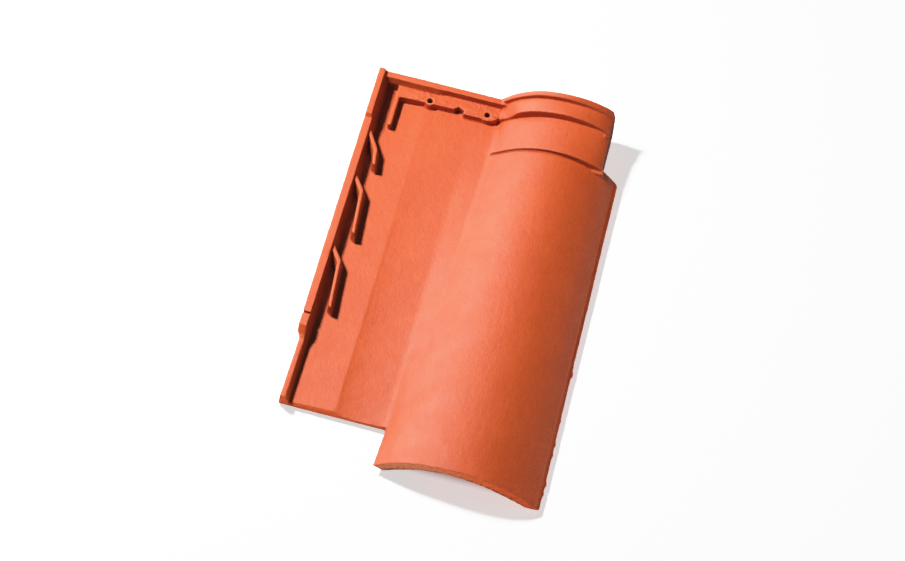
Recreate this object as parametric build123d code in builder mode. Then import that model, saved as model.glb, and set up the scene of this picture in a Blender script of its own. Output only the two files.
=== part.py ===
from build123d import *
import os

# Clay roof tile, one fired piece: a pan with a rib and three water baffles on
# its left, a hollow barrel roll on its right and a stepped head.
# Sketch axes: x runs across from the outer side of the rib, y runs up the
# slope from the lower end of the roll, z is height above the crease of the pan.
# Every plane below carries the shift that puts the origin at the middle of
# the underside.

LENGTH = 441.0         # lower end of the roll to its head
WIDTH = 280.5          # rib to the right edge of the roll, at the lower end
BASE = 11.0            # crease of the pan above the underside
PAN_Y = 43.5           # lower edge of the pan
FLAT_END = 439.8       # head end of the pan
CREASE_X = 59.0        # crease between the covered strip and the open pan
TABLE_Y = 380.0        # place of the second set of roll points

STOP_Y = 380.5         # first step up on the roll
GROOVE_Y = 376.0       # where the groove below that step begins
STEP_Y = 420.5         # second step up on the roll, front of the shelf there
RIM_Y = 436.2          # rim on the roll
HEAD_RIGHT_X = 256.0   # right side of the narrower head
HEAD_RIGHT_Y = 385.5   # where the roll narrows

SHELF_Z = 9.2          # flat shelf below the head rim
RIM_Z = 18.0           # head rim on the pan
RIB_Z = 19.0           # rib, main length
RIB_HEAD_Z = 23.5      # rib beside the head
RIB_LOW_Z = 11.0       # rib, lower length
BAFFLE_Z = 15.0
BAFFLE_T = 3.0
HOLE_R = 3.0
HOLES = ((60.6, 421.9), (123.0, 421.9))

# outer face of the roll, foot to right edge, at y = 0 and at y = TABLE_Y
OUTER_LOW = ((115.5, 5.4), (139.0, 22.7), (162.6, 31.0), (186.1, 34.5),
             (209.7, 33.75), (233.2, 27.45), (256.8, 14.7), (276.9, -0.4))
OUTER_HIGH = ((139.5, 6.0), (158.7, 21.4), (177.8, 31.1), (197.0, 35.0),
              (216.1, 33.7), (235.3, 27.9), (254.4, 17.4), (270.7, 3.1))
# inner face of the roll
INNER_LOW = ((121.2, -6.2), (137.0, 4.8), (153.0, 13.7), (170.0, 19.6),
             (188.5, 21.8), (207.0, 20.1), (226.5, 14.1), (248.0, 3.8), (266.5, -7.0))
INNER_HIGH = ((146.5, -5.4), (156.0, 2.9), (169.0, 12.7), (183.0, 19.2),
              (199.0, 22.1), (215.0, 20.6), (232.0, 15.0), (248.0, 5.9), (262.0, -6.4))
# tops of the three steps at the head of the roll, where each begins and where it ends
STOP_TOP = ((140.2, 5.6), (146.0, 11.4), (161.7, 24.2), (177.4, 32.6), (193.1, 37.25),
            (208.9, 38.65), (224.6, 37.05), (240.3, 32.5), (249.0, 28.7), (256.0, 23.5))
STOP_TOP_END = ((140.2, 5.6), (146.0, 11.4), (161.7, 24.1), (177.4, 32.4), (193.1, 37.6),
                (208.9, 39.2), (224.6, 38.6), (240.3, 36.8), (249.0, 34.2), (256.0, 29.2))
STEP_TOP = ((136.6, 9.2), (144.5, 14.4), (148.6, 19.6), (152.6, 27.0), (160.9, 35.4), (176.7, 43.2), (192.6, 47.4),
            (208.4, 48.6), (224.3, 46.3), (240.1, 41.2), (249.0, 36.6), (256.0, 30.6))
STEP_TOP_END = ((136.6, 11.5), (145.0, 24.3), (160.9, 37.0), (176.7, 44.7), (192.6, 48.1),
                (208.4, 49.1), (224.3, 48.6), (240.1, 45.2), (249.0, 41.0), (256.0, 34.6))
RIM_TOP = ((134.6, 17.2), (139.5, 23.6), (156.1, 39.4), (172.8, 49.2), (189.4, 53.9),
           (206.1, 55.0), (222.7, 52.7), (239.4, 47.6), (249.0, 42.4), (256.0, 36.6))
RIM_TOP_END = ((134.6, 18.0), (139.5, 24.4), (156.1, 40.8), (172.8, 50.8), (189.4, 55.7),
               (206.1, 57.4), (222.7, 56.6), (239.4, 52.5), (249.0, 48.2), (256.0, 41.8))
# depth of the groove below the first step, foot to right edge
GROOVE_D = (2.0, 3.2, 3.3, 3.0, 2.4, 2.0, 2.0, 1.0, -0.6)
# a line inside the wall of the roll, where the steps are rooted
ROOT = ((256.0, 8.0), (235.0, 20.0), (216.0, 27.0), (197.0, 28.5), (178.0, 25.0),
        (160.0, 15.0), (150.0, 5.5))

MID_X = WIDTH / 2
MID_Y = LENGTH / 2


def across(y):
    # upright plane across the tile, drawn in x and z
    return Plane(origin=(-MID_X, y - MID_Y, BASE), x_dir=(1, 0, 0), z_dir=(0, -1, 0))


def along(x):
    # upright plane along the tile, drawn in y and z
    return Plane(origin=(x - MID_X, -MID_Y, BASE), x_dir=(0, 1, 0), z_dir=(1, 0, 0))


def level(z):
    # level plane, drawn in x and y
    return Plane(origin=(-MID_X, -MID_Y, BASE + z))


def between(low, high, y):
    f = y / TABLE_Y
    return [(a[0] + (b[0] - a[0]) * f, a[1] + (b[1] - a[1]) * f) for a, b in zip(low, high)]


def number(low, high, y):
    return low + (high - low) * y / TABLE_Y


def pushed(points, depths):
    # points moved into the wall, square to the line through their neighbours
    moved = []
    for i, (x, z) in enumerate(points):
        ax, az = points[max(i - 1, 0)]
        bx, bz = points[min(i + 1, len(points) - 1)]
        size = ((bx - ax) ** 2 + (bz - az) ** 2) ** 0.5
        moved.append((x + depths[i] * (bz - az) / size, z - depths[i] * (bx - ax) / size))
    return moved


def roll_lines(y):
    # outer face, rounded right edge, flat right foot and inner face
    outer = between(OUTER_LOW, OUTER_HIGH, y)
    inner = between(INNER_LOW, INNER_HIGH, y)
    edge_x = number(WIDTH, 274.2, y)
    edge_z = number(-6.2, -3.8, y)
    Spline(*outer, tangents=((1, number(1.04, 0.92, y)), (1, number(-0.79, -1.05, y))))
    Spline(outer[-1], (edge_x, edge_z), tangents=((1, number(-0.79, -1.05, y)), (0, -1)))
    Polyline((edge_x, edge_z), (edge_x, -BASE), (number(269.0, 264.0, y), -BASE), inner[-1])
    Spline(*inner)
    return outer[0], inner[0]


with BuildPart() as roof_tile:
    # pan and roll in one section
    for y in (PAN_Y, LENGTH):
        with BuildSketch(across(y)):
            with BuildLine():
                foot, spring = roll_lines(y)
                low = (number(106.5, 129.5, y), number(-0.8, 0.3, y))
                Spline(low, foot, tangents=((1, number(0.15, 0.035, y)), (1, number(1.04, 0.92, y))))
                Spline((CREASE_X, 0), low, tangents=((1, number(-0.3, -0.03, y)), (1, number(0.15, 0.035, y))))
                Polyline((CREASE_X, 0), (6.0, -2.7), (6.0, -BASE), (number(116.2, 140.5, y), -BASE), spring)
            make_face()
    loft()

    # free lower end of the roll, below the pan
    for y in (0, PAN_Y):
        with BuildSketch(across(y)):
            with BuildLine():
                foot, spring = roll_lines(y)
                Polyline(foot, (number(110.3, 133.2, y), number(0.0, 0.2, y)), spring)
            make_face()
    loft()

    # toe of the right foot, lifted at the lower end
    with BuildSketch(along(200)):
        with BuildLine():
            Polyline((-5, -4.0), (9, -BASE), (9, -15), (-5, -15), close=True)
        make_face()
    extrude(amount=100, mode=Mode.SUBTRACT)

    # sloped lower edge of the covered strip, fading out past the crease
    for x0, z0, d0, x1, z1, d1 in ((7, -2.6, 3.0, 57, -0.1, 3.4), (57, -0.1, 3.4, 73, -2.4, 0.3)):
        for x, z, d in ((x0, z0, d0), (x1, z1, d1)):
            with BuildSketch(along(x)):
                with BuildLine():
                    Polyline((PAN_Y - 2, z - 0.8 * d - 1.6), (PAN_Y + d, z), (PAN_Y + d + 2, z + 1.6),
                             (PAN_Y - 2, z + 6), close=True)
                make_face()
        loft(ruled=True, mode=Mode.SUBTRACT)

    # rib, its outer side leaning out: lower length, folded ramp, main length, length beside the head
    rib_foot = ((1.2, -BASE), (2.8, RIB_LOW_Z), (8.7, RIB_LOW_Z), (12.4, -3.2), (12.4, -BASE))
    rib_low = ((4.4, -BASE), (4.0, RIB_LOW_Z), (9.4, RIB_LOW_Z), (12.4, -3.2), (12.4, -BASE))
    ramp_low = ((4.4, -BASE), (4.0, RIB_LOW_Z), (9.0, RIB_LOW_Z), (9.4, RIB_LOW_Z), (12.4, -3.2), (12.4, -BASE))
    ramp_mid = ((4.4, -BASE), (2.2, 12.0), (5.6, 13.0), (8.8, 13.0), (12.4, -3.2), (12.4, -BASE))
    ramp_turn = ((4.4, -BASE), (0.2, 14.4), (2.6, 15.0), (8.7, 15.0), (12.5, -3.2), (12.5, -BASE))
    ramp_high = ((4.4, -BASE), (0.0, RIB_Z), (1.2, RIB_Z), (8.4, RIB_Z), (12.6, -3.2), (12.6, -BASE))
    rib_main = ((4.4, -BASE), (0.0, RIB_Z), (8.4, RIB_Z), (12.6, -3.2), (12.6, -BASE))
    rib_head = ((4.4, -BASE), (0.4, RIB_HEAD_Z), (7.0, RIB_HEAD_Z), (12.6, -3.2), (12.6, -BASE))
    rib_end = ((4.4, -BASE), (0.6, RIB_HEAD_Z - 1.6), (7.6, RIB_HEAD_Z - 2.0), (12.6, -3.2), (12.6, -BASE))
    for first_y, first, last_y, last in ((PAN_Y, rib_foot, 110.8, rib_low), (110.8, ramp_low, 115.2, ramp_mid),
                                         (115.2, ramp_mid, 117.6, ramp_turn), (117.6, ramp_turn, 122.6, ramp_high),
                                         (122.6, rib_main, 377.5, rib_main),
                                         (377.5, rib_main, 380.5, rib_head), (380.5, rib_head, FLAT_END - 2.2, rib_head),
                                         (FLAT_END - 2.2, rib_head, FLAT_END, rib_end)):
        for y, outline in ((first_y, first), (last_y, last)):
            with BuildSketch(across(y)):
                with BuildLine():
                    Polyline(*outline, close=True)
                make_face()
        loft(ruled=True)

    # nose under the lower edge of the pan and the rib
    with BuildSketch(along(-5)):
        with BuildLine():
            Polyline((40, -3.5), (51, -14.5), (40, -14.5), close=True)
        make_face()
    extrude(amount=117, mode=Mode.SUBTRACT)

    # thin slit across the top of the rib
    with BuildSketch(along(-5)):
        with BuildLine():
            Polyline((135.8, RIB_Z - 3.4), (138.2, RIB_Z - 3.4), (138.2, RIB_Z + 2), (135.8, RIB_Z + 2), close=True)
        make_face()
    extrude(amount=15.5, mode=Mode.SUBTRACT)

    # three bent baffles, drafted, their lower ends cut obliquely and sloping to the pan
    for root_y, bend, end, tip in ((367.5, (21.3, 344.0), (24.0, 326.0), (26.5, 322.6)),
                                   (310.0, (20.4, 291.4), (24.8, 241.0), (26.9, 237.0)),
                                   (223.0, (19.8, 205.0), (24.4, 151.5), (26.7, 148.4))):
        b = BAFFLE_T / 2
        with BuildSketch(level(BAFFLE_Z)):
            with BuildLine():
                Polyline((8.5, root_y + b), (bend[0] + b, bend[1] + b), (end[0] + b, end[1] - 0.6), (end[0] - b, end[1] + 1.6),
                         (bend[0] - b, bend[1] - b), (8.5, root_y - 3 * b), close=True)
            make_face()
        with BuildSketch(level(-4.0)):
            with BuildLine():
                Polyline((8.5, root_y + b + 3), (bend[0] + b + 2.2, bend[1] + b + 2), (tip[0] + b, tip[1]),
                         (tip[0] - b - 3.6, tip[1] + 4.8), (bend[0] - b - 1.5, bend[1] - b - 2), (8.5, root_y - 3 * b - 3),
                         close=True)
            make_face()
        loft(ruled=True)

    # shallow groove below the first step, ramped on its lower side
    for y, depths in ((GROOVE_Y, (-0.3,) * 9), (STOP_Y + 0.2, GROOVE_D)):
        skin = [(number(111.4, 137.2, y), number(0.9, 3.9, y))] + between(OUTER_LOW, OUTER_HIGH, y)
        with BuildSketch(across(y)):
            with BuildLine():
                low = pushed(skin, depths)
                high = pushed(skin, (-6.0,) * 9)
                Spline(*low)
                Polyline(low[-1], *reversed(high), low[0])
            make_face()
    loft(mode=Mode.SUBTRACT)

    # steps at the head of the roll, each a raised band between two cross planes
    for first_y, first_top, last_y, last_top, left in (
            (STOP_Y, STOP_TOP, STEP_Y + 5, STOP_TOP_END, ((148.0, 3.0),)),
            (STEP_Y, STEP_TOP, RIM_Y + 3, STEP_TOP_END, ((144.0, -5.0), (136.6, -5.0))),
            (RIM_Y, RIM_TOP, LENGTH, RIM_TOP_END, ((144.0, -5.0), (134.6, -5.0)))):
        for y, top in ((first_y, first_top), (last_y, last_top)):
            with BuildSketch(across(y)):
                with BuildLine():
                    Spline(*top)
                    Polyline(top[-1], *ROOT, *left, top[0])
                make_face()
        loft()

    # small level ledge at the right end of the first step
    with BuildSketch(across(STOP_Y + 0.4)):
        with BuildLine():
            Polyline((243.6, 23.3), (256.8, 22.2), (256.8, 13.0), (243.6, 19.0), close=True)
        make_face()
    extrude(amount=4.3)

    # flat shelf with the short leg beside the channel and the notch in its front
    with BuildSketch(level(-4.0)):
        with BuildLine():
            Polyline((24.3, 437), (24.3, 383.0), (25.6, 381.2), (27.2, 381.2), (28.2, 382.6), (28.2, 417.5), (50.0, 418.6), (86.9, 419.2),
                     (91.7, 423.3), (99.2, 419.6), (97.2, 416.8), (98.4, 415.9), (117.0, 416.2), (118.5, 415.9), (120.5, 415.1),
                     (123.5, 414.8), (127.5, 415.6), (131.0, 416.9), (133.6, 418.6), (135.0, 421.4), (140.0, 422.6),
                     (140.0, 437), close=True)
        make_face()
    extrude(amount=SHELF_Z + 4.0)

    # sloped foot of the shelf front, between the notch and the right boss
    for x in (98.8, 117.2):
        with BuildSketch(along(x)):
            with BuildLine():
                Polyline((418, -2), (414.4, -2), (414.4, 0.2), (416.4, 2.8), (418, 2.8), close=True)
            make_face()
    loft(ruled=True)

    # bosses around the nail holes
    for hx, hy in HOLES:
        with BuildSketch(Plane(origin=(hx - MID_X, hy - MID_Y, BASE - 4.0))):
            Circle(6.8)
        extrude(amount=SHELF_Z + 3.9, taper=7)

    # head rim on the pan, its inner side sloped on the left and nearly upright on the right
    for first_x, first_foot, first_top, last_x, last_foot, last_top in (
            (8.0, 430.9, 433.0, 67.0, 430.9, 433.0), (67.0, 430.9, 433.0, 77.0, 433.0, 433.4),
            (77.0, 433.0, 433.4, 141.0, 433.0, 433.4)):
        for x, y_foot, y_top in ((first_x, first_foot, first_top), (last_x, last_foot, last_top)):
            with BuildSketch(along(x)):
                with BuildLine():
                    Polyline((y_foot, -5), (y_foot, SHELF_Z), (y_top, RIM_Z), (FLAT_END, RIM_Z), (FLAT_END, -5), close=True)
                make_face()
        loft(ruled=True)

    # ends of the head: pan a little short of the roll, right side cut back with a draft
    with BuildSketch(level(-20)):
        with BuildLine():
            Polyline((-5, FLAT_END), (131.6, FLAT_END), (136.8, FLAT_END + 5.2), (-5, FLAT_END + 5.2), close=True)
        make_face()
    extrude(amount=100, mode=Mode.SUBTRACT)
    for z, x in ((-12.0, HEAD_RIGHT_X + 0.6), (62.0, HEAD_RIGHT_X - 1.6)):
        with BuildSketch(level(z)):
            with BuildLine():
                Polyline((x, HEAD_RIGHT_Y), (x + 44, HEAD_RIGHT_Y - 7), (x + 44, LENGTH + 5), (x - 7.5, LENGTH + 5),
                         (x, LENGTH - 2.5), close=True)
            make_face()
    loft(ruled=True, mode=Mode.SUBTRACT)

    # nail holes
    for hx, hy in HOLES:
        with BuildSketch(Plane(origin=(hx - MID_X, hy - MID_Y, -1))):
            Circle(HOLE_R)
        extrude(amount=40, mode=Mode.SUBTRACT)

os.makedirs("parts", exist_ok=True)
roof_tile.part.label = "roof_tile"
export_step(roof_tile.part, "parts/roof_tile.step")
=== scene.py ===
import math

import bmesh
import bpy
import numpy as np
from mathutils import Matrix, Vector
from mathutils.kdtree import KDTree


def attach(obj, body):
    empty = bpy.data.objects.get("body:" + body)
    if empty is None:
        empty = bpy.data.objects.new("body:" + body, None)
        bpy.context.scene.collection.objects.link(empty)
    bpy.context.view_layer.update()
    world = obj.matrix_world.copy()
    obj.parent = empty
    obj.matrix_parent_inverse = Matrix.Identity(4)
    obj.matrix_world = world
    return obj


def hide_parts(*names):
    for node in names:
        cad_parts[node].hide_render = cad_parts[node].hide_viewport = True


# light and surface settings
KEY = (34.0, 12.0, 1.445, 0.20, 34.2)     # degrees left, degrees back, distance, size, watts
SHEEN = (68.7, 56.0, 1.6, 0.9, 30.0)
FILL = (-69.0, -8.0, 1.6, 0.5, 1.8)       # diffuse only
BOUNCE = 0.6                             # watts
FLOOR_GLOW = 0.60
SKIN_BUMP = 0.75
THROWN_PAN = (0.17, 0.055, 0.030)        # clay as seen by light that has already bounced
THROWN_HEAD = (0.50, 0.070, 0.015)
SHADE_PAINT = (0.10, 0.018, 0.006)              # painted shade colour, for the nail holes and other places painted dark where shade falls
BLACK = -0.004                           # scene value that shows as black
WHITE = 1.7                              # scene value that shows as white
SHOULDER = ((0.35, 0.35), (0.65, 0.65), (0.8, 0.793), (0.9, 0.872), (1.0, 0.92), (1.15, 0.953), (1.4, 0.98))

# ---------------------------------------------------------------- frame
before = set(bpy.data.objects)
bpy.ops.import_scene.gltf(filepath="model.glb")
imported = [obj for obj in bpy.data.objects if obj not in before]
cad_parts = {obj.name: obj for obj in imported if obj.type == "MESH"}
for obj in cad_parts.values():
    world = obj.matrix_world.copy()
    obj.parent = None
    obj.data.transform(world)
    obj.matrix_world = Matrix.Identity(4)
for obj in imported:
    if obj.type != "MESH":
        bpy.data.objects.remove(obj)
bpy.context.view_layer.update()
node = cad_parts["roof_tile"]
scene = bpy.context.scene

# Working axes of the tile in millimetres: x from the outer side of the rib,
# y up the slope from the lower end of the roll, z above the crease of the pan.
SHIFT = np.array((140.25, 220.5, -11.0))


def working(co):
    return co * 1000.0 + SHIFT


def row(p):
    return (np.asarray(p, float) - SHIFT) / 1000.0


# ---------------------------------------------------------------- noise
def lattice(i, j, k, seed):
    h = (i * 73856093) ^ (j * 19349663) ^ (k * 83492791) ^ (seed * 2654435761)
    h &= 0xFFFFFFFF
    h = ((h ^ (h >> 15)) * 2246822519) & 0xFFFFFFFF
    h = ((h ^ (h >> 13)) * 3266489917) & 0xFFFFFFFF
    return ((h ^ (h >> 16)) & 0xFFFFFF) / float(0xFFFFFF) * 2.0 - 1.0


def noise(p, size, seed):
    # smooth value noise, -1 to 1, p in mm and size the cell in mm
    q = p / size + 1000.0
    c = np.floor(q).astype(np.int64)
    f = q - c
    f = f * f * f * (f * (f * 6 - 15) + 10)
    out = 0.0
    for a in (0, 1):
        wa = f[:, 0] if a else 1 - f[:, 0]
        for b in (0, 1):
            wb = f[:, 1] if b else 1 - f[:, 1]
            for d in (0, 1):
                wd = f[:, 2] if d else 1 - f[:, 2]
                out = out + wa * wb * wd * lattice(c[:, 0] + a, c[:, 1] + b, c[:, 2] + d, seed)
    return out


def ramp(x, a, b):
    t = np.clip((x - a) / (b - a), 0.0, 1.0)
    return t * t * (3 - 2 * t)


# ---------------------------------------------------------------- mesh helpers
def evaluated_mesh(obj):
    dg = bpy.context.evaluated_depsgraph_get()
    dg.update()
    return bpy.data.meshes.new_from_object(obj.evaluated_get(dg), depsgraph=dg)


def points_of(me):
    co = np.empty(len(me.vertices) * 3, np.float32)
    me.vertices.foreach_get("co", co)
    return co.reshape(-1, 3).astype(np.float64)


def normals_of(me):
    no = np.empty(len(me.vertices) * 3, np.float32)
    me.vertices.foreach_get("normal", no)
    return no.reshape(-1, 3).astype(np.float64)


def edges_of(me):
    e = np.empty(len(me.edges) * 2, np.int32)
    me.edges.foreach_get("vertices", e)
    return e.reshape(-1, 2)


def set_points(me, co):
    me.vertices.foreach_set("co", co.astype(np.float32).ravel())
    me.update()


def mean_of_neighbours(co, e, count):
    s = np.zeros_like(co)
    for k in range(3):
        s[:, k] = np.bincount(e[:, 0], co[e[:, 1], k], len(co)) + np.bincount(e[:, 1], co[e[:, 0], k], len(co))
    return s / count[:, None]


# ---------------------------------------------------------------- the tile
VOXEL = 0.0006
start = node.data.copy()
bm = bmesh.new()
bm.from_mesh(start)
bmesh.ops.remove_doubles(bm, verts=bm.verts, dist=2e-6)
bm.to_mesh(start)
bm.free()
tile = bpy.data.objects.new("roof_tile_clay", start)
scene.collection.objects.link(tile)
tile.matrix_world = Matrix.Identity(4)
m = tile.modifiers.new("skin", "REMESH")
m.mode = "VOXEL"
m.voxel_size = VOXEL
m.adaptivity = 0.0
fine = evaluated_mesh(tile)
tile.modifiers.clear()

co = points_of(fine)
e = edges_of(fine)
count = np.maximum(np.bincount(e.ravel(), minlength=len(co)), 1)


def smoothed(points, steps):
    for step in range(steps):
        points = points + 0.5 * (mean_of_neighbours(points, e, count) - points)
    return points


co = smoothed(co, 3)
set_points(fine, co)
no = normals_of(fine)
p = working(co)

# how far each point stands out of, or lies in, the skin around it (mm)
stand = np.einsum("ij,ij->i", co - smoothed(co, 12), no) * 1000.0
wear_and_highlight = ramp(stand, 0.04, 0.30)
cavity = ramp(-stand, 0.04, 0.30)

# the weather side gets the relief, the underside stays plain
under = ramp(-no[:, 2], 0.25, 0.6)
shown = 1.0 - under

# faces that were trimmed after pressing: lower end, right edge, head end, outer side of the rib
edge_x = 280.5 - 6.3 * p[:, 1] / 380.0
cut = np.maximum.reduce([
    ramp(-no[:, 1], 0.72, 0.86) * (p[:, 1] < 3.0),
    ramp(-no[:, 1], 0.72, 0.86) * (p[:, 1] < 60.0) * (p[:, 0] < 112.0),
    ramp(no[:, 0], 0.66, 0.74) * (p[:, 0] > edge_x - 5.0),
    ramp(no[:, 0], 0.72, 0.86) * (p[:, 0] > 254.0) * (p[:, 1] > 384.0),
    ramp(no[:, 1], 0.72, 0.86) * (p[:, 1] > 380.0) * (p[:, 0] > 254.0),
    ramp(no[:, 1], 0.72, 0.86) * (p[:, 1] > 437.0),
    ramp(-no[:, 0], 0.72, 0.86) * (p[:, 0] < 2.0)])

# slow waves that pressing and drying leave, and a slightly uneven sanded skin
move = (0.15 * noise(p, 62.0, 11) + 0.07 * noise(p, 23.0, 12)) * (1.0 - 0.7 * under)
move += (0.035 * noise(p, 7.0, 13) + 0.022 * noise(p, 3.1, 14)) * shown
# edges worn a little unevenly
move -= 0.16 * wear_and_highlight * shown * ramp(noise(p, 6.0, 15) + 0.4 * noise(p, 2.2, 16), 0.0, 0.9)
# trimmed faces torn by the wire
tear = cut * shown
move += tear * (0.16 * noise(p, 3.4, 17) + 0.10 * noise(p, 1.7, 18))


def lump(x, y, rx, ry, height):
    # a low rounded lump on the weather side
    return height * np.exp(-((p[:, 0] - x) / rx) ** 2 - ((p[:, 1] - y) / ry) ** 2) * (no[:, 2] > 0.2)


# crumb of clay above the right end of the first step
move += lump(249.6, 416.6, 1.8, 1.8, 1.7)

# shelf: fine wrinkles running out from the nail holes, and lumps where the shelf meets the roll
HOLES = ((60.6, 421.9), (123.0, 421.9))
shelf = ramp(no[:, 2], 0.8, 0.95) * (p[:, 2] > 7.5) * (p[:, 2] < 11.5) * (p[:, 0] > 24.0) * (p[:, 0] < 140.0) * (p[:, 1] > 412.0)
for i, (hx, hy) in enumerate(HOLES):
    d = np.hypot(p[:, 0] - hx, p[:, 1] - hy)
    turn = np.arctan2(p[:, 1] - hy, p[:, 0] - hx)
    ring = np.column_stack((np.cos(turn), np.sin(turn), d / 40.0)) * 4.6
    move += 0.20 * shelf * noise(ring, 1.0, 31 + i) * ramp(d, 4.0, 7.0) * (1.0 - ramp(d, 22.0, 34.0))
move += 0.10 * shelf * noise(p * np.array((1.0, 0.22, 1.0)), 1.7, 33)
for x, y, rx, ry, size in ((133.5, 424.6, 2.6, 1.4, 0.9), (136.5, 428.0, 1.8, 2.4, 0.8), (131.0, 420.4, 1.6, 1.0, 0.5),
                           (139.6, 423.0, 1.6, 1.5, 0.7), (129.8, 427.6, 1.5, 1.1, 0.35), (137.6, 434.8, 2.0, 1.3, 0.6)):
    move += lump(x, y, rx, ry, size)

# painted shade, colour darkened where shade falls: the nail holes, the notch, the line under the first step, the right
# side of the head
bored = np.minimum.reduce([np.hypot(p[:, 0] - hx, p[:, 1] - hy) for hx, hy in HOLES])
roll_x = ramp(p[:, 0], 138.0, 141.0) * (1.0 - ramp(p[:, 0], 200.0, 236.0))
painted_shade = np.maximum.reduce([
    (bored < 3.5) * ramp(-p[:, 2], -8.6, -7.2),
    0.85 * (p[:, 0] > 85.5) * (p[:, 0] < 98.2) * (p[:, 1] < 424.5) * ramp(-p[:, 2], -8.4, -7.0) * ramp(p[:, 1], 419.8, 420.6),
    0.42 * roll_x * np.exp(-((p[:, 1] - 379.7) / 1.2) ** 4) * (no[:, 2] > -0.2),
    0.14 * ramp(p[:, 0], 234.0, 256.0) * (p[:, 1] > 381.0) * ramp(no[:, 2], 0.0, 0.2),
    0.95 * ramp(no[:, 0], 0.6, 0.8) * (p[:, 0] > 252.0) * (p[:, 1] > 383.0) * ramp(p[:, 2], -6.0, 10.0)])
# crumbled lower rim of the lower end, pressed in, with painted shade in it
inner = np.interp(p[:, 0], (121.2, 137.0, 153.0, 170.0, 188.5, 207.0, 226.5, 248.0, 266.5),
                  (-6.2, 4.8, 13.7, 19.6, 21.8, 20.1, 14.1, 3.8, -7.0))
crumble = ramp(noise(p, 2.6, 41) + 0.5 * noise(p, 1.3, 42), 0.05, 0.55) * np.exp(-((p[:, 2] - inner - 0.6) / 1.7) ** 2) * (p[:, 1] < 2.5) * (no[:, 1] < -0.3)
move -= 0.5 * crumble
painted_shade = np.maximum(painted_shade, 0.75 * crumble)
# the left part of the lower end made paler and greyer: partly dust, partly painted sheen
dust_and_sheen = (p[:, 1] < 4.0) * ramp(-no[:, 1], 0.5, 0.8) * (1.0 - ramp(p[:, 0], 150.0, 235.0))
# on the right flank the colour grain is made stronger, a painted stand-in for the grain's shading where the light
# grazes
flank_grain_shade = ramp(no[:, 0], 0.15, 0.6) * shown
# painted highlight: a pale ring round the lip of each nail hole, added to the wear mask
wear_and_highlight = np.maximum(wear_and_highlight, 1.0 * np.exp(-((bored - 3.9) / 0.8) ** 2) * ramp(p[:, 2], 8.0, 8.8) * (no[:, 2] > 0.5))

# pits in the lower end, most of them along its lower rim, each with painted shade in it
for x, z, r, depth in ((209.7, 21.5, 1.3, 1.6), (216.0, 20.0, 0.9, 0.8), (232.9, 15.6, 1.1, 0.9),
                       (227.7, 17.3, 0.9, 0.7), (172.9, 22.0, 1.1, 0.8), (136.8, 12.0, 0.9, 0.7),
                       (147.6, 21.0, 0.8, 0.5), (187.8, 26.0, 0.8, 0.5), (251.0, 8.0, 0.9, 0.6),
                       (123.0, -3.5, 1.0, 0.7), (160.5, 20.5, 0.8, 0.6), (199.0, 24.8, 0.8, 0.5)):
    d2 = ((p[:, 0] - x) ** 2 + (p[:, 2] - z) ** 2) / r ** 2
    pit = np.exp(-d2 * d2) * (p[:, 1] < 2.5) * (no[:, 1] < -0.4)
    move -= depth * pit
    painted_shade = np.maximum(painted_shade, min(1.0, depth) * pit)

co = co + no * (move / 1000.0)[:, None]

# crumbs and nicks left by trimming along the right edge
rim = np.exp(-((p[:, 0] - edge_x) / 1.6) ** 2) * np.exp(-((p[:, 2] + 5.5) / 3.2) ** 2) * (p[:, 1] < 384.0)
burr = np.zeros(len(co))
for y, up_len, down_len, size in ((153.2, 9.0, 1.5, 1.5), (101.1, 3.0, 1.6, 0.7), (72.8, 4.2, 1.8, 1.1),
                                  (62.5, 2.2, 1.6, 0.8), (28.4, 4.5, 2.4, 1.3), (18.4, 2.8, 1.8, 0.9),
                                  (190.0, 3.0, 2.0, 0.5), (232.0, 2.4, 1.8, 0.45), (301.0, 2.6, 2.0, 0.4)):
    d = p[:, 1] - y
    burr += size * np.exp(-(d / np.where(d > 0, up_len, down_len)) ** 2)
nick = 0.55 * ramp(noise(p * np.array((0.0, 1.0, 0.0)), 4.3, 21) + 0.5 * noise(p * np.array((0.0, 1.0, 0.0)), 1.9, 22), 0.15, 0.9)
nick *= 0.35 + 0.65 * ramp(-p[:, 1], -230.0, -150.0)
co[:, 0] += rim * (burr - nick) / 1000.0
co[:, 2] = np.maximum(co[:, 2], 0.0)
set_points(fine, co)
no = normals_of(fine)

tile.data = fine
tris = sum(len(f.vertices) - 2 for f in fine.polygons)
d = tile.modifiers.new("lighter", "DECIMATE")
d.ratio = min(1.0, 192000.0 / tris)
d.use_collapse_triangulate = True
light = evaluated_mesh(tile)
tile.modifiers.clear()
tile.data = light
mesh = tile.data
mesh.name = "roof_tile_clay"
for f in mesh.polygons:
    f.use_smooth = True

# carry the masks and the fine normals to the lighter mesh
tree = KDTree(len(co))
for i, c in enumerate(co.tolist()):
    tree.insert(c, i)
tree.balance()
near = np.array([tree.find(c)[1] for c in points_of(mesh).tolist()])
for name, values in (("wear_and_highlight", wear_and_highlight), ("cavity", cavity), ("painted_shade", painted_shade), ("dust_and_sheen", dust_and_sheen), ("flank_grain_shade", flank_grain_shade)):
    layer = mesh.attributes.new(name, "FLOAT", "POINT")
    layer.data.foreach_set("value", values[near].astype(np.float32))
mesh.normals_split_custom_set_from_vertices(no[near].tolist())

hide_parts("roof_tile")
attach(tile, "root")


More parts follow.
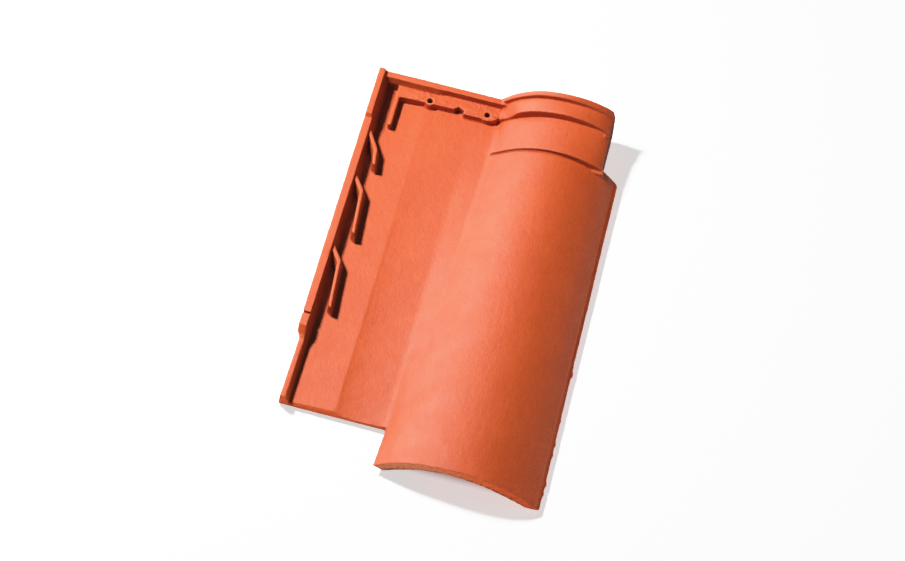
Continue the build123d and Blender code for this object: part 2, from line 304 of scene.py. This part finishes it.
# ---------------------------------------------------------------- materials
class Nodes:
    def __init__(self, name):
        self.mat = bpy.data.materials.new(name)
        self.mat.use_nodes = True
        self.tree = self.mat.node_tree
        self.tree.nodes.clear()
        self.out = self.add("ShaderNodeOutputMaterial")
        self.bsdf = self.add("ShaderNodeBsdfPrincipled")
        self.link(self.bsdf.outputs["BSDF"], self.out.inputs["Surface"])
        self.coords = self.add("ShaderNodeTexCoord").outputs["Object"]

    def add(self, kind, **settings):
        n = self.tree.nodes.new(kind)
        for k, v in settings.items():
            setattr(n, k, v)
        return n

    def link(self, a, b):
        self.tree.links.new(a, b)

    def noise(self, scale, detail=3.0, rough=0.55, stretch=None, where=None):
        n = self.add("ShaderNodeTexNoise")
        n.inputs["Scale"].default_value = scale
        n.inputs["Detail"].default_value = detail
        n.inputs["Roughness"].default_value = rough
        where = where or self.coords
        if stretch:
            m = self.add("ShaderNodeMapping")
            m.inputs["Scale"].default_value = stretch
            self.link(where, m.inputs["Vector"])
            where = m.outputs["Vector"]
        self.link(where, n.inputs["Vector"])
        return n.outputs["Fac"]

    def attribute(self, name):
        n = self.add("ShaderNodeAttribute", attribute_type="GEOMETRY", attribute_name=name)
        return n.outputs["Fac"]

    def colours(self, fac, *stops):
        r = self.add("ShaderNodeValToRGB")
        el = r.color_ramp.elements
        el[0].position, el[0].color = stops[0][0], (*stops[0][1], 1)
        el[1].position, el[1].color = stops[-1][0], (*stops[-1][1], 1)
        for pos, c in stops[1:-1]:
            x = el.new(pos)
            x.color = (*c, 1)
        self.link(fac, r.inputs["Fac"])
        return r.outputs["Color"]

    def mix(self, fac, a, b, kind="MIX"):
        # colours, each a socket or an rgb triple
        n = self.add("ShaderNodeMix", data_type="RGBA", blend_type=kind)
        for value, socket in ((fac, n.inputs["Factor"]), (a, n.inputs[6]), (b, n.inputs[7])):
            if hasattr(value, "links"):
                self.link(value, socket)
            elif isinstance(value, (int, float)):
                socket.default_value = value
            else:
                socket.default_value = (*value, 1)
        return n.outputs[2]

    def maths(self, kind, a, b=0.0, c=0.0):
        n = self.add("ShaderNodeMath", operation=kind)
        for value, socket in zip((a, b, c), n.inputs):
            if hasattr(value, "links"):
                self.link(value, socket)
            else:
                socket.default_value = value
        return n.outputs[0]

    def span(self, value, a, b, low, high):
        n = self.add("ShaderNodeMapRange", interpolation_type="SMOOTHSTEP")
        self.link(value, n.inputs["Value"])
        for v, k in ((a, "From Min"), (b, "From Max"), (low, "To Min"), (high, "To Max")):
            n.inputs[k].default_value = v
        return n.outputs["Result"]

    def base(self, colour):
        # light thrown on from one face of the clay to the next is damped, most in the pan, which keeps its shadows deep
        path = self.add("ShaderNodeLightPath")
        xyz = self.add("ShaderNodeSeparateXYZ")
        self.link(self.coords, xyz.inputs[0])
        pan = self.maths("MULTIPLY", self.span(xyz.outputs[0], 0.0, 0.03, 1.0, 0.0), self.span(xyz.outputs[1], 0.135, 0.165, 1.0, 0.0))
        pan = self.maths("MAXIMUM", pan, self.span(xyz.outputs[0], -0.115, -0.095, 1.0, 0.0))
        thrown = self.mix(pan, THROWN_HEAD, THROWN_PAN)
        self.link(self.mix(path.outputs["Is Diffuse Ray"], colour, thrown), self.bsdf.inputs["Base Color"])

    def edge(self, colour):
        # the right edge below the head: painted shade in a narrow darker band, and a painted highlight in a pale line
        # where the roll's flank meets it
        xyz = self.add("ShaderNodeSeparateXYZ")
        self.link(self.coords, xyz.inputs[0])
        out = self.maths("MULTIPLY_ADD", xyz.outputs[1], 6.3 / 380.0, xyz.outputs[0])
        end = 0.14025 - 0.2205 * 6.3 / 380.0
        below = self.span(xyz.outputs[1], 0.158, 0.163, 1.0, 0.0)
        shade_band = self.maths("MULTIPLY", self.span(out, end - 0.0037, end - 0.0031, 0.0, 0.65), below)
        colour = self.mix(shade_band, colour, (0.86, 0.70, 0.50), "MULTIPLY")
        line = self.maths("MULTIPLY", self.span(out, end - 0.0051, end - 0.0043, 0.0, 0.40), self.span(out, end - 0.0043, end - 0.0036, 1.0, 0.0))
        return self.mix(self.maths("MULTIPLY", line, below), colour, (0.72, 0.17, 0.06))

    def bump(self, height, strength, distance):
        n = self.add("ShaderNodeBump")
        n.inputs["Strength"].default_value = strength
        n.inputs["Distance"].default_value = distance
        self.link(height, n.inputs["Height"])
        self.link(n.outputs["Normal"], self.bsdf.inputs["Normal"])


# sanded weather skin
k = Nodes("fired_clay")
colour = k.colours(k.noise(16.0), (0.30, (0.575, 0.079, 0.0115)), (0.52, (0.600, 0.085, 0.0130)), (0.74, (0.625, 0.092, 0.0150)))
blotch = k.colours(k.noise(60.0, 4.0, 0.6), (0.25, (0.965, 0.93, 0.90)), (0.5, (1.0, 1.0, 1.0)), (0.75, (1.03, 1.06, 1.08)))
colour = k.mix(1.0, colour, blotch, "MULTIPLY")
fine_grain = k.noise(1300.0, 2.0, 0.6)
speck = k.colours(fine_grain, (0.25, (0.87, 0.74, 0.64)), (0.5, (1.0, 1.0, 1.0)), (0.75, (1.11, 1.27, 1.42)))
colour = k.mix(1.0, colour, speck, "MULTIPLY")
# coarse grain, stronger on the right flank: a painted stand-in for the grain's shading where the light grazes
coarse = k.colours(k.noise(640.0, 2.0, 0.6), (0.28, (0.90, 0.84, 0.79)), (0.5, (1.0, 1.0, 1.0)), (0.72, (1.08, 1.14, 1.20)))
colour = k.mix(k.maths("MULTIPLY_ADD", k.attribute("flank_grain_shade"), 0.6, 0.4), colour, coarse, "MULTIPLY")
sand = k.span(k.noise(620.0, 1.0, 0.5), 0.66, 0.74, 0.0, 0.35)
colour = k.mix(sand, colour, (0.70, 0.150, 0.050))
iron = k.span(k.noise(410.0, 1.0, 0.5), 0.69, 0.76, 0.0, 0.35)
colour = k.mix(iron, colour, (0.38, 0.045, 0.010))
streaks = []
for hx, hy in HOLES:
    x, y, z = row((hx, hy, 9.2))
    xyz = k.add("ShaderNodeSeparateXYZ")
    k.link(k.coords, xyz.inputs[0])
    dx, dy = k.maths("SUBTRACT", xyz.outputs[0], float(x)), k.maths("SUBTRACT", xyz.outputs[1], float(y))
    far = k.maths("SQRT", k.maths("ADD", k.maths("MULTIPLY", dx, dx), k.maths("MULTIPLY", dy, dy)))
    polar = k.add("ShaderNodeCombineXYZ")
    k.link(k.maths("DIVIDE", dx, far), polar.inputs[0])
    k.link(k.maths("DIVIDE", dy, far), polar.inputs[1])
    k.link(k.maths("MULTIPLY", far, 22.0), polar.inputs[2])
    lines = k.noise(5.5, 2.0, 0.6, where=polar.outputs[0])
    level = k.maths("MULTIPLY", k.span(xyz.outputs[2], float(z) - 0.0012, float(z) - 0.0006, 0.0, 1.0), k.span(xyz.outputs[2], float(z) + 0.0008, float(z) + 0.0016, 1.0, 0.0))
    level = k.maths("MULTIPLY", level, k.span(xyz.outputs[1], 0.192, 0.196, 0.0, 1.0))
    reach = k.maths("MULTIPLY", k.span(far, 0.0035, 0.0060, 0.0, 1.0), k.span(far, 0.020, 0.036, 1.0, 0.0))
    streaks.append(k.maths("MULTIPLY", k.maths("SUBTRACT", lines, 0.5), k.maths("MULTIPLY", reach, level)))
streak = k.maths("ADD", *streaks)
colour = k.mix(1.0, colour, k.colours(k.maths("ADD", streak, 0.5), (0.3, (0.84, 0.76, 0.70)), (0.5, (1, 1, 1)), (0.7, (1.08, 1.20, 1.32))), "MULTIPLY")
# pale edges: partly worn arrises, partly a painted highlight along the edges and round the nail holes
rubbed_and_highlight = k.maths("MULTIPLY", k.attribute("wear_and_highlight"), k.span(k.noise(170.0), 0.35, 0.65, 0.25, 0.7))
colour = k.mix(rubbed_and_highlight, colour, (0.72, 0.160, 0.055))
# painted shade: darker colour in concave places, where shade falls
hollow_shade = k.maths("MULTIPLY", k.attribute("cavity"), k.span(k.noise(120.0), 0.3, 0.7, 0.3, 0.8))
colour = k.mix(hollow_shade, colour, (0.42, 0.050, 0.009))
colour = k.edge(colour)
# painted shade: the places in the shade mask turn dark
colour = k.mix(k.attribute("painted_shade"), colour, SHADE_PAINT)
k.base(colour)
dull = k.span(k.noise(45.0), 0.3, 0.7, 0.50, 0.57)
dull = k.maths("ADD", dull, k.span(fine_grain, 0.3, 0.7, -0.03, 0.03))
dull = k.maths("MULTIPLY_ADD", k.attribute("cavity"), 0.15, dull)
k.link(dull, k.bsdf.inputs["Roughness"])
k.bsdf.inputs["Specular IOR Level"].default_value = 0.38
height = k.maths("MULTIPLY_ADD", k.noise(430.0, 2.0), 0.9, fine_grain)
height = k.maths("MULTIPLY_ADD", k.noise(150.0, 2.0), 1.2, height)
height = k.maths("MULTIPLY_ADD", streak, 4.0, height)
k.bump(height, SKIN_BUMP, 0.0004)
skin = k.mat

# torn skin of the trimmed faces
k = Nodes("fired_clay_trimmed")
colour = k.colours(k.noise(45.0), (0.30, (0.560, 0.070, 0.0100)), (0.52, (0.600, 0.082, 0.0125)), (0.74, (0.640, 0.100, 0.0190)))
drag = k.noise(260.0, 3.0, 0.6, stretch=(0.35, 0.35, 2.2))
colour = k.mix(1.0, colour, k.colours(drag, (0.25, (0.86, 0.80, 0.76)), (0.5, (1, 1, 1)), (0.75, (1.08, 1.18, 1.3))), "MULTIPLY")
# pores, pressed in by the bump, with painted shade darkening them
pores = k.span(k.noise(520.0, 2.0), 0.60, 0.70, 0.0, 0.6)
colour = k.mix(pores, colour, (0.26, 0.030, 0.006))
# the left part of the lower end made paler and greyer: partly dust, partly painted sheen
dust_and_sheen_mix = k.maths("MULTIPLY", k.attribute("dust_and_sheen"), k.span(k.noise(330.0, 3.0, 0.6), 0.36, 0.60, 0.25, 0.9))
colour = k.mix(dust_and_sheen_mix, colour, (0.50, 0.185, 0.085))
# painted shade: darker colour in concave places, where shade falls
hollow_shade = k.maths("MULTIPLY", k.attribute("cavity"), 0.6)
colour = k.mix(hollow_shade, colour, (0.30, 0.035, 0.007))
colour = k.edge(colour)
# painted shade: dark specks along the lower rim of the lower end, which is close to an arc
x, y, z = row((191.0, 0.0, -85.2))
xyz = k.add("ShaderNodeSeparateXYZ")
k.link(k.coords, xyz.inputs[0])
dx, dz = k.maths("SUBTRACT", xyz.outputs[0], float(x)), k.maths("SUBTRACT", xyz.outputs[2], float(z))
far = k.maths("SQRT", k.maths("ADD", k.maths("MULTIPLY", dx, dx), k.maths("MULTIPLY", dz, dz)))
rim_specks_shade = k.maths("MULTIPLY", k.span(far, 0.1080, 0.1106, 1.0, 0.0), k.span(xyz.outputs[1], float(y) + 0.002, float(y) + 0.004, 1.0, 0.0))
rim_specks_shade = k.maths("MULTIPLY", rim_specks_shade, k.span(k.noise(300.0, 3.0, 0.6), 0.45, 0.58, 0.10, 0.95))
colour = k.mix(rim_specks_shade, colour, SHADE_PAINT)
colour = k.mix(k.attribute("painted_shade"), colour, SHADE_PAINT)
k.base(colour)
k.link(k.span(drag, 0.3, 0.7, 0.78, 0.92), k.bsdf.inputs["Roughness"])
k.bsdf.inputs["Specular IOR Level"].default_value = 0.15
height = k.maths("MULTIPLY_ADD", pores, -0.8, drag)
k.bump(height, 0.6, 0.0006)
torn = k.mat

mesh.materials.clear()
mesh.materials.append(skin)
mesh.materials.append(torn)
loops = np.empty(len(mesh.loops), np.int32)
mesh.loops.foreach_get("vertex_index", loops)
first = np.empty(len(mesh.polygons), np.int32)
mesh.polygons.foreach_get("loop_start", first)
share = np.add.reduceat(cut[near][loops], first) / np.diff(np.append(first, len(loops)))
mesh.polygons.foreach_set("material_index", (share > 0.5).astype(np.int32))
mesh.update()

# ---------------------------------------------------------------- floor
bpy.ops.mesh.primitive_plane_add(size=8.0, location=(0, 0, 0))
floor = bpy.context.active_object
floor.name = "floor"
k = Nodes("floor_pale")
k.bsdf.inputs["Base Color"].default_value = (0.80, 0.80, 0.80, 1)
k.bsdf.inputs["Roughness"].default_value = 0.9
k.bsdf.inputs["Specular IOR Level"].default_value = 0.1
k.bsdf.inputs["Emission Color"].default_value = (1, 1, 1, 1)
# a white sweep that glows a little, but not under the tile
xyz = k.add("ShaderNodeSeparateXYZ")
k.link(k.coords, xyz.inputs[0])
covered = k.maths("MULTIPLY", k.span(xyz.outputs[0], -0.135, -0.115, 0.0, 1.0), k.span(xyz.outputs[0], 0.104, 0.118, 1.0, 0.0))
lower = k.maths("MULTIPLY_ADD", k.span(xyz.outputs[0], -0.035, -0.015, 0.0, 1.0), -0.045, -0.165)
lower = k.span(k.maths("SUBTRACT", xyz.outputs[1], lower), -0.004, 0.012, 0.0, 1.0)
covered = k.maths("MULTIPLY", covered, k.maths("MULTIPLY", lower, k.span(xyz.outputs[1], 0.205, 0.217, 1.0, 0.0)))
k.link(k.maths("MULTIPLY_ADD", covered, -FLOOR_GLOW, FLOOR_GLOW), k.bsdf.inputs["Emission Strength"])
floor.data.materials.append(k.mat)

# ---------------------------------------------------------------- light
AIM = Vector((0.0, 0.0, 0.02))


def area(name, left_deg, back_deg, distance, size, power):
    # direction from the tile: tilted left_deg towards -x and back_deg towards +y
    v = Vector((-math.tan(math.radians(left_deg)), math.tan(math.radians(back_deg)), 1.0)).normalized()
    d = bpy.data.lights.new(name, "AREA")
    d.shape = "DISK"
    d.size = size
    d.energy = power
    o = bpy.data.objects.new(name, d)
    scene.collection.objects.link(o)
    o.location = AIM + v * distance
    o.rotation_mode = "QUATERNION"
    o.rotation_quaternion = (-v).to_track_quat("-Z", "Y")
    return o


area("key", *KEY)
sheen = area("sheen", *SHEEN)
sheen.visible_diffuse = False
fill = area("fill", *FILL)
fill.visible_glossy = False

# light that the white sweep throws up at the lower end
glow = bpy.data.lights.new("bounce", "AREA")
glow.shape = "RECTANGLE"
glow.size, glow.size_y = 0.60, 0.36
glow.energy = BOUNCE
bounce = bpy.data.objects.new("bounce", glow)
bounce.location = (0.06, -0.43, 0.001)
bounce.rotation_euler = (math.pi, 0.0, 0.0)
bounce.visible_camera = False
bounce.visible_glossy = False
scene.collection.objects.link(bounce)

world = bpy.data.worlds.new("studio")
world.use_nodes = True
world.node_tree.nodes["Background"].inputs["Color"].default_value = (1, 1, 1, 1)
world.node_tree.nodes["Background"].inputs["Strength"].default_value = 0.03
scene.world = world

# ---------------------------------------------------------------- camera
a, el, roll = math.radians(7.14), math.radians(61.21), math.radians(8.02)
F = Vector((-math.sin(a) * math.cos(el), math.cos(a) * math.cos(el), -math.sin(el)))
right = Vector((math.cos(a), math.sin(a), 0.0))
up = right.cross(F)
R = math.cos(roll) * right + math.sin(roll) * up
U = -math.sin(roll) * right + math.cos(roll) * up
target = Vector(row((135.6237, 223.6785, 0.0)))
cam_data = bpy.data.cameras.new("camera")
cam_data.sensor_fit = "HORIZONTAL"
cam_data.sensor_width = 36.0
cam_data.lens = 2817.82 / 905.0 * 36.0
cam_data.dof.use_dof = False
cam = bpy.data.objects.new("camera", cam_data)
scene.collection.objects.link(cam)
place = target - F * 2.886396
cam.matrix_world = Matrix((
    (R.x, U.x, -F.x, place.x),
    (R.y, U.y, -F.y, place.y),
    (R.z, U.z, -F.z, place.z),
    (0, 0, 0, 1)))
scene.camera = cam

scene.view_settings.view_transform = "Standard"
scene.view_settings.look = "None"
scene.view_settings.exposure = 0.0
scene.view_settings.gamma = 1.0
# soft shoulder in the highlights, as a photograph has
scene.view_settings.use_curve_mapping = True
tone = scene.view_settings.curve_mapping
tone.use_clip = False
tone.black_level = (BLACK, BLACK, BLACK)
tone.white_level = (WHITE, WHITE, WHITE)
line = tone.curves[3]
while len(line.points) > 2:
    line.points.remove(line.points[1])
line.points[0].location = (0.0, 0.0)
line.points[1].location = (1.0, 1.0)
for x, y in SHOULDER:
    line.points.new(x / WHITE, y)
for q in line.points:
    q.handle_type = "VECTOR" if q.location[0] * WHITE < 0.7 else "AUTO_CLAMPED"
tone.update()
